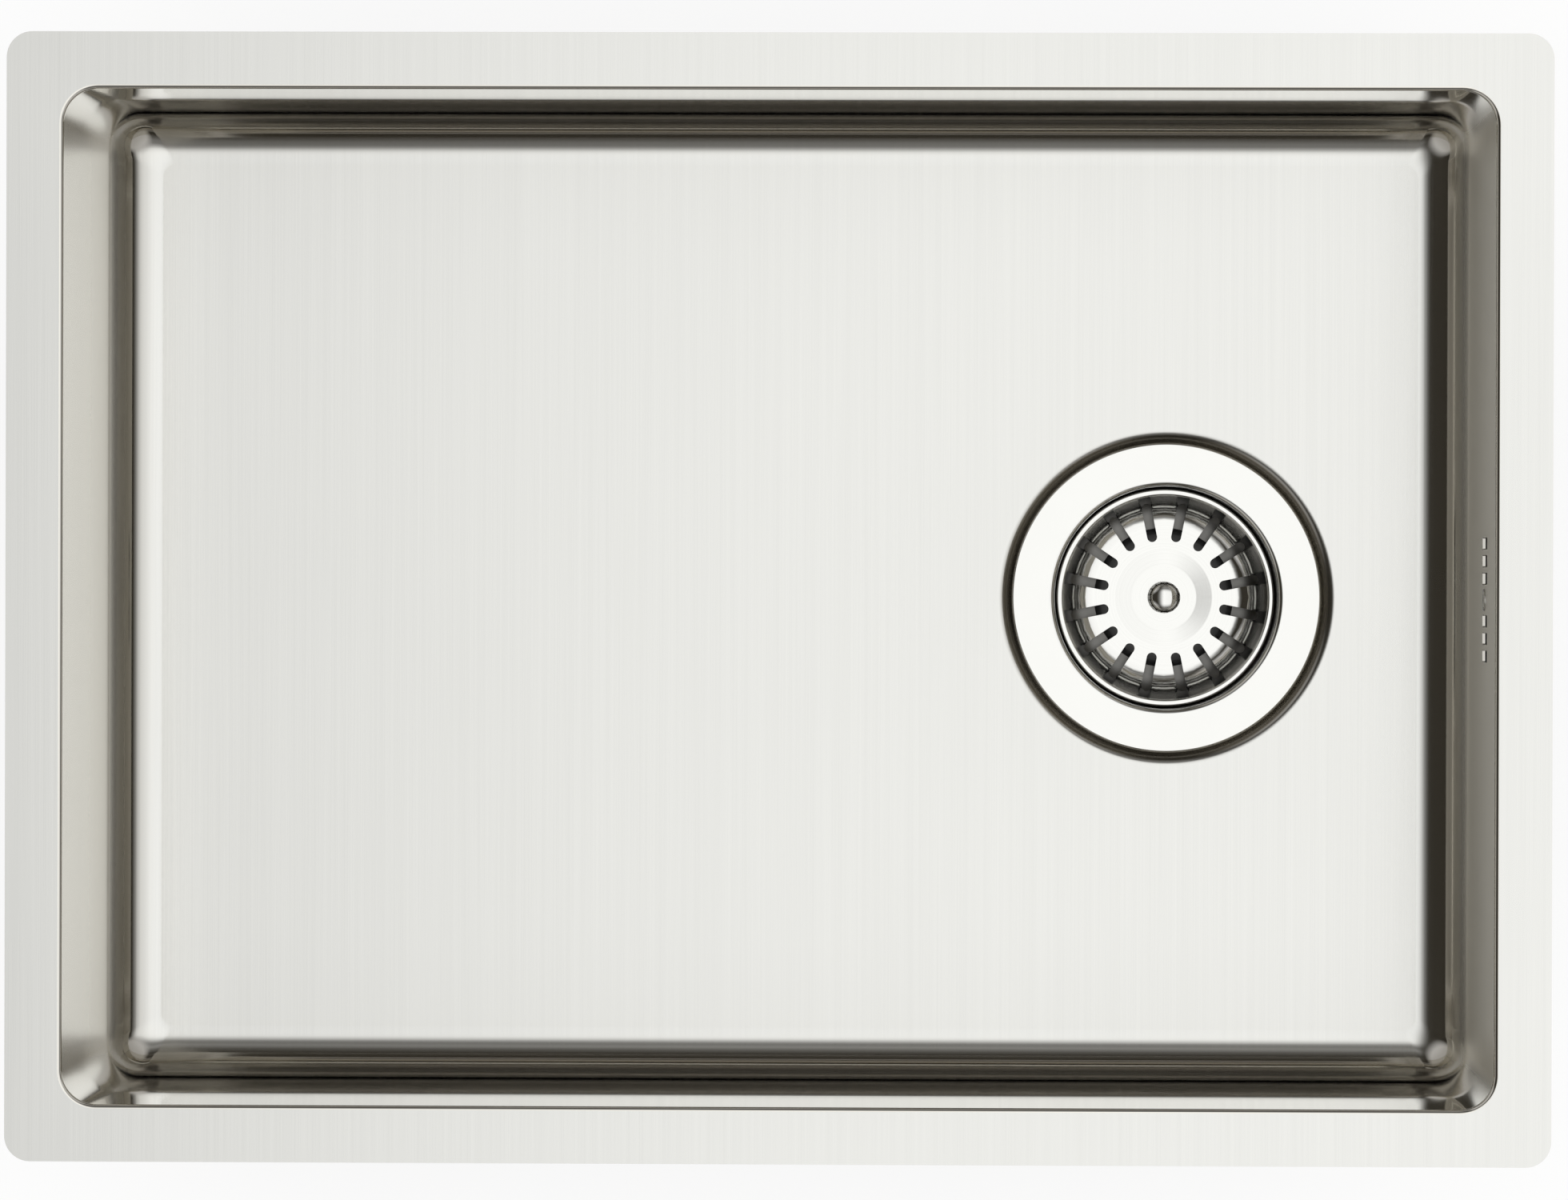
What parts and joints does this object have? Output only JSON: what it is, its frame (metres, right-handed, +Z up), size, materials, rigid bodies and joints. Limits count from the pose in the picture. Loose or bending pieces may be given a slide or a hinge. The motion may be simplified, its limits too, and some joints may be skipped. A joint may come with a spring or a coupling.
{
  "type": "kitchen sink",
  "caption": "Rectangular stainless steel kitchen sink bowl with flat flange, off-centre basket strainer waste with lift-out basket, and slotted overflow piped to the waste.",
  "frame": {"origin": "middle of the bowl's opening, in the plane of the flange's top", "axes": "+X along the bowl towards the drain and the overflow, +Y across the bowl to the picture's top, +Z up out of the bowl"},
  "size_m": [0.5448, 0.395, 0.2662],
  "materials": {
    "bowl_steel": "stainless steel sheet, fine straight brushing, walls left bright",
    "polished_steel": "polished stainless steel",
    "screw_steel": "turned stainless steel",
    "insert_brass": "turned brass",
    "gasket_rubber": "black rubber",
    "seal_rubber": "soft black rubber",
    "damping_pad": "matt dark grey damping sheet",
    "housing_plastic": "moulded light grey polypropylene",
    "pipe_plastic": "extruded light grey polypropylene",
    "nut_plastic": "moulded dark grey polypropylene",
    "collet_plastic": "moulded white acetal"
  },
  "bodies": {
    "sink": {"sink_bowl": "bowl_steel", "floor_sound_pad": "damping_pad", "front_sound_pad": "damping_pad", "rear_sound_pad": "damping_pad", "strainer_cup": "polished_steel", "upper_gasket": "gasket_rubber", "lower_gasket": "gasket_rubber", "waste_housing": "housing_plastic", "waste_outlet": "housing_plastic", "clamp_screw": "screw_steel", "clamp_insert": "insert_brass", "overflow_head": "housing_plastic", "overflow_gasket": "gasket_rubber", "overflow_screw": "screw_steel", "overflow_insert": "insert_brass", "overflow_pipe": "pipe_plastic", "upper_pipe_nut": "nut_plastic", "lower_pipe_nut": "nut_plastic", "upper_pipe_seal": "seal_rubber", "lower_pipe_seal": "seal_rubber"},
    "plunger": {"stem_collet": "collet_plastic"},
    "basket": {"basket_shell": "polished_steel", "basket_knob": "polished_steel", "basket_stem": "screw_steel", "seal_washer": "screw_steel", "basket_seal": "seal_rubber"}
  },
  "joints": [
    {"name": "basket_lift", "type": "slide", "parent": "sink", "child": "plunger", "axis": [0, 0, 1], "range_m": [0, 0.25]},
    {"name": "basket_turn", "type": "hinge", "parent": "plunger", "child": "basket", "pos_m": [0.1395, 0, -0.2188], "axis": [0, 0, 1], "continuous": true}
  ]
}
